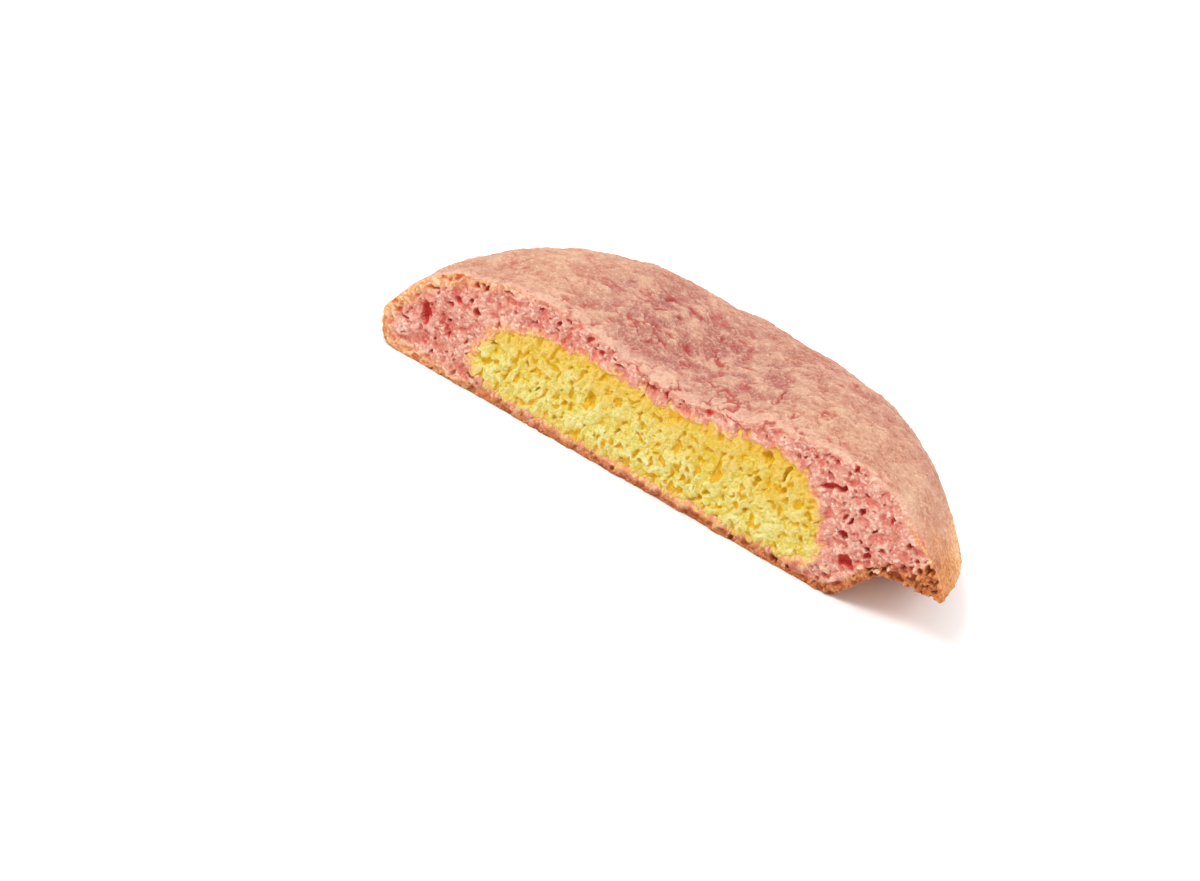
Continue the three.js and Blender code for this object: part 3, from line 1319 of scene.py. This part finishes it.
# painted highlight on the skin's lumps
SKIN_LUMP_HIGHLIGHT = (0.64, 0.40, 0.27)
PALE_GRAIN = (0.70, 0.48, 0.345)
DARK_GRAIN = (0.40, 0.145, 0.095)
PALEST_SPECK = (0.75, 0.53, 0.40)
DARKEST_SPECK = (0.36, 0.11, 0.075)
# painted shade in the creases, seams and pits
CREASE_SHADE_ROSE = (0.41, 0.075, 0.065)

skin = coats(
    tree, SKIN_PINK,
    (window(tree, wide, 0.35, 0.65), SKIN_BEIGE),
    (window(tree, patchy, 0.42, 0.68, most=0.6), SKIN_ROSE),
    (window(tree, marks["top_shade"], 0, 1, most=0.82), TOP_SHADE_ROSE),
    (window(tree, marks["pale"], 0, 1, most=0.68), PALE_STRIP),
    (window(tree, marks["grain"], 0.4, 0.9, most=0.62), SKIN_LUMP_HIGHLIGHT),
    (window(tree, grain["Number"], 0.6, 1.0, most=0.4), PALE_GRAIN),
    (window(tree, skin_grain["Number"], 0.4, 0.0, most=0.35), DARK_GRAIN),
    (window(tree, fine_grain["Number"], 0.7, 1.0, most=0.28), PALEST_SPECK),
    (window(tree, fine_grain["Number"], 0.3, 0.0, most=0.22), DARKEST_SPECK),
    (window(tree, marks["hollow"], 0.05, 0.9, most=0.9), CREASE_SHADE_ROSE),
    (window(tree, marks["toast"], 0, 1, most=0.8), toasted),
)
print("nodes so far:", len(tree.nodes))

# %% [markdown]
# Last, the marks lay skin over crumb, brown over both, and the pale flakes on top. Dough
# is matt, so it hardly shines, and light goes about a third of a millimetre into it.

# %% Put the dough together
PALE_FLAKE = (0.84, 0.58, 0.38)
DOUGH_ROUGHNESS = 0.75
DOUGH_SHINE = 0.03

colour = coats(
    tree, crumb,
    (marks["skin"], skin),
    (window(tree, marks["brown"], 0, 1, most=0.9), browned),
    (window(tree, marks["flake"], 0.2, 0.9, most=0.75), PALE_FLAKE),
)
put(tree, shader.inputs["Base Color"], colour)
put(tree, shader.inputs["Roughness"], DOUGH_ROUGHNESS)
put(tree, shader.inputs["Specular IOR Level"], DOUGH_SHINE)
let_light_in(shader, weight=0.4, reach=0.36, tint=(1.0, 0.58, 0.48))
heights = [(grain["Height"], 1.0), (fine_grain["Height"], 0.5), (skin_grain["Height"], 0.6)]
roughen(tree, shader, heights, distance=0.1)
dough.data.materials.append(dough_material)
print("nodes in the dough's material:", len(tree.nodes))

# %% [markdown]
# ## Filling material
# The filling is moist, so light goes deep into it, and its gaps and low places also get
# painted shade in a glowing gold, so that they don't go dark. Its lumps get a pale painted
# highlight, and it is lemon yellow in patches. Its moister upper part is a deeper gold,
# and next to the dough it is stained.

# %% Filling material
filling_material, tree, shader = new_material("yellow_filling")
marks = {name: read_mark(tree, name) for name in FILLING_MARKS}
grain = use_group(tree, GRAIN_GROUP, Size=0.3 * MM)
fine_grain = use_group(tree, GRAIN_GROUP, Size=0.17 * MM)
patchy = use_group(tree, BLOTCH_GROUP, Size=1.5 * MM)["Value"]
strays = use_group(tree, STRAY_GROUP, Closeness=marks["stain"], Number=grain["Number"])

CRUMB_YELLOW = (0.64, 0.515, 0.08)
LEMON = (0.665, 0.59, 0.16)
# painted highlight on the high lumps, and also the colour of random fine specks
HIGHLIGHT_AND_SPECK_YELLOW = (0.72, 0.68, 0.32)
# painted shade and glow in the low places between lumps
VALLEY_SHADE_GOLD = (0.66, 0.445, 0.03)
PALE_YELLOW = (0.775, 0.72, 0.42)
DEEP_YELLOW = (0.66, 0.455, 0.04)
# painted shade and glow in the gaps and pores
GAP_SHADE_GOLD = (0.70, 0.39, 0.012)
MOIST_GOLD = (0.68, 0.385, 0.02)
STAINED_GOLD = (0.75, 0.41, 0.07)
STRAY_PINK = (0.80, 0.44, 0.20)

colour = coats(
    tree, CRUMB_YELLOW,
    (window(tree, patchy, 0.38, 0.66), LEMON),
    (window(tree, marks["grain"], 0.3, 1.1, most=0.65), HIGHLIGHT_AND_SPECK_YELLOW),
    (window(tree, marks["grain"], 0.4, -0.3, most=0.7), VALLEY_SHADE_GOLD),
    (window(tree, grain["Number"], 0.6, 1.0, most=0.6), PALE_YELLOW),
    (window(tree, fine_grain["Number"], 0.7, 1.0, most=0.35), HIGHLIGHT_AND_SPECK_YELLOW),
    (window(tree, grain["Number"], 0.4, 0.0, most=0.4), DEEP_YELLOW),
    (window(tree, marks["hollow"], 0.05, 0.9, most=0.9), GAP_SHADE_GOLD),
    (window(tree, marks["moist"], 0, 1, most=0.6), MOIST_GOLD),
    (window(tree, marks["stain"], 0, 1, most=0.45), STAINED_GOLD),
    (strays["Mask"], STRAY_PINK),
)
print("nodes so far:", len(tree.nodes))

# %% Finish the filling
FILLING_ROUGHNESS = 0.6
FILLING_SHINE = 0.05

put(tree, shader.inputs["Base Color"], colour)
put(tree, shader.inputs["Roughness"], FILLING_ROUGHNESS)
put(tree, shader.inputs["Specular IOR Level"], FILLING_SHINE)
let_light_in(shader, weight=0.5, reach=0.6, tint=(1.0, 0.72, 0.28))
heights = [(grain["Height"], 1.0), (fine_grain["Height"], 0.5)]
roughen(tree, shader, heights, distance=0.11)
filling.data.materials.append(filling_material)
print("nodes in the filling's material:", len(tree.nodes))
